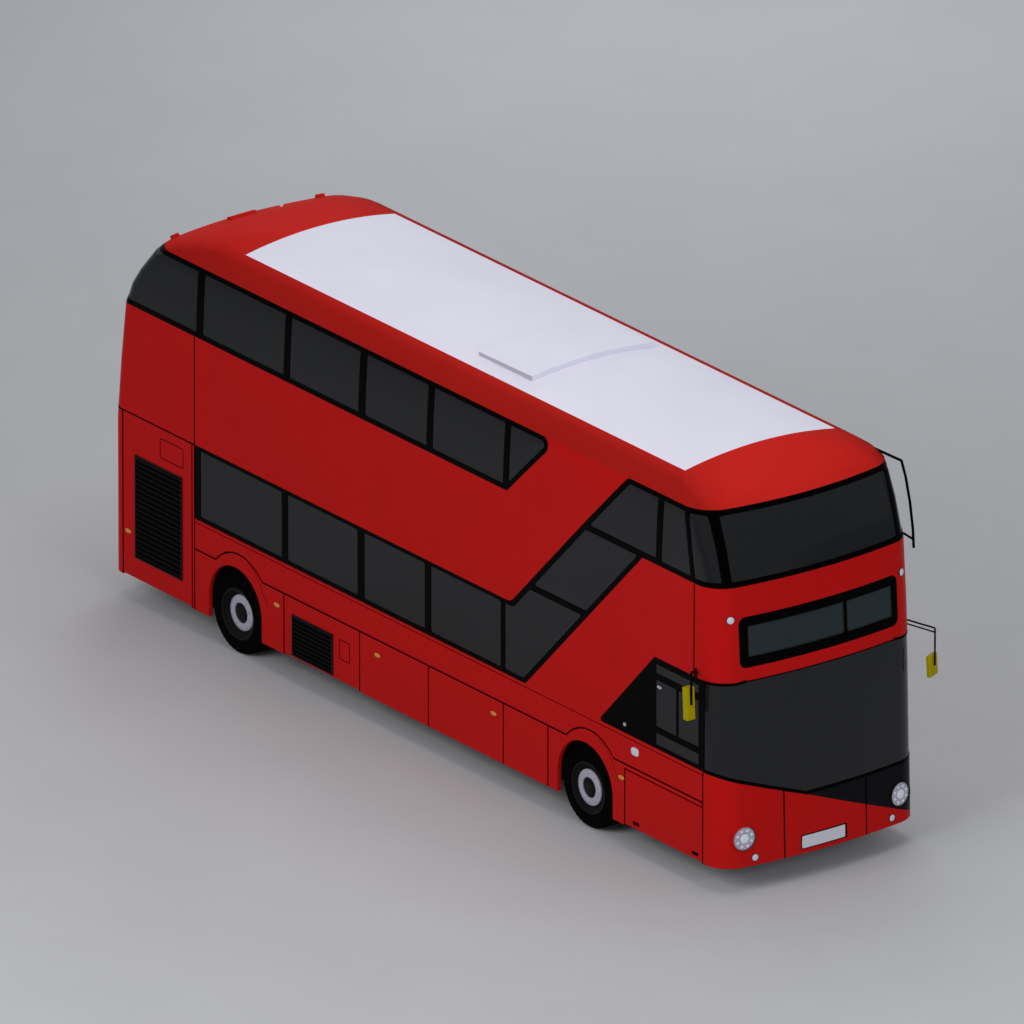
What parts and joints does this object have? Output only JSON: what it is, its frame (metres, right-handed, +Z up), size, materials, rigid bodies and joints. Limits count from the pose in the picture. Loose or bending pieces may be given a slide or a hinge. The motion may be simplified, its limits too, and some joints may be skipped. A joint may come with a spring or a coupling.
{
  "type": "double decker bus",
  "caption": "Red double deck city bus with a hollow two-storey body, stair glazing, steered front wheels, twin rear wheels, passenger doors and hinged service panels.",
  "frame": {"origin": "on the ground, below the middle of the vehicle's box", "axes": "+X forward, +Y to the nearside (left), +Z up"},
  "size_m": [10.4258, 2.98, 4.38],
  "materials": {
    "red_paint": "glossy red enamel",
    "white_paint": "satin white roof paint",
    "black_gloss": "gloss black",
    "dark_glass": "dark tinted safety glass",
    "display": "gloss black display surround",
    "lamp": "clear lamp lens",
    "tail": "red lamp lens",
    "chassis": "semi-gloss black chassis paint",
    "floor": "speckled vinyl floor covering",
    "trim": "interior trim",
    "dash": "soft black dashboard",
    "seat": "woven moquette",
    "engine": "cast iron",
    "rim": "silver wheel paint",
    "tyre": "rubber",
    "yellow": "yellow mirror housing"
  },
  "bodies": {
    "bus_body": {"offside_side_panel": "red_paint", "offside_skirt": "red_paint", "nearside_side_panel": "red_paint", "nearside_skirt": "red_paint", "offside_window_frame": "black_gloss", "offside_glass": "dark_glass", "nearside_window_frame": "black_gloss", "nearside_glass": "dark_glass", "front_panel": "red_paint", "front_corner_panel": "black_gloss", "lower_windscreen": "dark_glass", "destination_display": "display", "headlamps": "lamp", "upper_windscreen_frame": "black_gloss", "upper_windscreen": "dark_glass", "rear_panel": "red_paint", "tail_lamps": "tail", "rear_window_frame": "black_gloss", "rear_glass": "dark_glass", "roof_shell": "red_paint", "roof_centre_panel": "white_paint", "front_axle": "chassis", "rear_axle": "chassis", "chassis_rails": "chassis", "cross_members": "chassis", "drawbar_member": "chassis", "lower_floor": "floor", "wheel_boxes": "floor", "engine_block": "engine", "upper_floor": "floor", "staircase": "floor", "cab_partition": "trim", "dashboard": "dash", "lower_deck_seats": "seat", "upper_deck_seats": "seat", "mirrors": "yellow", "tree_guard": "black_gloss"},
    "left_steered_hub": {"left_knuckle": "chassis"},
    "right_steered_hub": {"right_knuckle": "chassis"},
    "front_left_wheel": {"front_left_tyre": "tyre", "front_left_rim": "rim"},
    "front_right_wheel": {"front_right_tyre": "tyre", "front_right_rim": "rim"},
    "rear_left_wheels": {"rear_left_tyres": "tyre", "rear_left_rims": "rim"},
    "rear_right_wheels": {"rear_right_tyres": "tyre", "rear_right_rims": "rim"},
    "battery_flap_body": {"battery_flap": "red_paint"},
    "locker_flap_body": {"locker_flap": "red_paint"},
    "offside_engine_door_body": {"offside_engine_door": "red_paint"},
    "engine_cover_body": {"engine_cover": "red_paint"},
    "front_door_rear_leaf_body": {"front_door_rear_leaf": "red_paint"},
    "front_door_front_leaf_body": {"front_door_front_leaf": "red_paint"},
    "centre_door_rear_leaf_body": {"centre_door_rear_leaf": "red_paint"},
    "centre_door_front_leaf_body": {"centre_door_front_leaf": "red_paint"},
    "rear_door_body": {"rear_door": "red_paint"}
  },
  "joints": [
    {"name": "left_steering", "type": "hinge", "parent": "bus_body", "child": "left_steered_hub", "pos_m": [2.822, 1.04, 0.433], "axis": [0, 0, 1], "range_deg": [-40, 40]},
    {"name": "right_steering", "type": "hinge", "parent": "bus_body", "child": "right_steered_hub", "pos_m": [2.822, -1.04, 0.433], "axis": [0, 0, 1], "range_deg": [-40, 40]},
    {"name": "front_left_wheel_spin", "type": "hinge", "parent": "left_steered_hub", "child": "front_left_wheel", "pos_m": [2.822, 1.094, 0.433], "axis": [0, 1, 0], "continuous": true},
    {"name": "front_right_wheel_spin", "type": "hinge", "parent": "right_steered_hub", "child": "front_right_wheel", "pos_m": [2.822, -1.094, 0.433], "axis": [0, 1, 0], "continuous": true},
    {"name": "rear_left_wheels_spin", "type": "hinge", "parent": "bus_body", "child": "rear_left_wheels", "pos_m": [-3.074, 1.124, 0.433], "axis": [0, 1, 0], "continuous": true},
    {"name": "rear_right_wheels_spin", "type": "hinge", "parent": "bus_body", "child": "rear_right_wheels", "pos_m": [-3.074, -1.124, 0.433], "axis": [0, 1, 0], "continuous": true},
    {"name": "front_door_front_leaf_hinge", "type": "hinge", "parent": "bus_body", "child": "front_door_front_leaf_body", "pos_m": [4.69, 1.251, 1.3], "axis": [0, 0, 1], "range_deg": [0, 90]},
    {"name": "front_door_rear_leaf_hinge", "type": "hinge", "parent": "bus_body", "child": "front_door_rear_leaf_body", "pos_m": [3.514, 1.251, 1.3], "axis": [0, 0, -1], "range_deg": [0, 90]},
    {"name": "centre_door_front_leaf_hinge", "type": "hinge", "parent": "bus_body", "child": "centre_door_front_leaf_body", "pos_m": [1.39, 1.251, 1.3], "axis": [0, 0, 1], "range_deg": [0, 90]},
    {"name": "centre_door_rear_leaf_hinge", "type": "hinge", "parent": "bus_body", "child": "centre_door_rear_leaf_body", "pos_m": [0.284, 1.251, 1.3], "axis": [0, 0, -1], "range_deg": [0, 90]},
    {"name": "rear_door_hinge", "type": "hinge", "parent": "bus_body", "child": "rear_door_body", "pos_m": [-3.81, 1.251, 1.3], "axis": [0, 0, 1], "range_deg": [0, 90]},
    {"name": "battery_flap_hinge", "type": "hinge", "parent": "bus_body", "child": "battery_flap_body", "pos_m": [-1.583, -1.28, 0.927], "axis": [-1, 0, 0], "range_deg": [0, 90]},
    {"name": "locker_flap_hinge", "type": "hinge", "parent": "bus_body", "child": "locker_flap_body", "pos_m": [4.167, -1.28, 0.879], "axis": [-1, 0, 0], "range_deg": [0, 90]},
    {"name": "offside_engine_door_hinge", "type": "hinge", "parent": "bus_body", "child": "offside_engine_door_body", "pos_m": [-3.816, -1.28, 1.2], "axis": [0, 0, 1], "range_deg": [0, 120]},
    {"name": "engine_cover_hinge", "type": "hinge", "parent": "bus_body", "child": "engine_cover_body", "pos_m": [-5.218, 0, 2.014], "axis": [0, 1, 0], "range_deg": [0, 85]}
  ],
  "couplings": [
    {"joint": "right_steering", "follows": "left_steering", "ratio": 1},
    {"joint": "front_door_rear_leaf_hinge", "follows": "front_door_front_leaf_hinge", "ratio": 1},
    {"joint": "centre_door_rear_leaf_hinge", "follows": "centre_door_front_leaf_hinge", "ratio": 1}
  ]
}
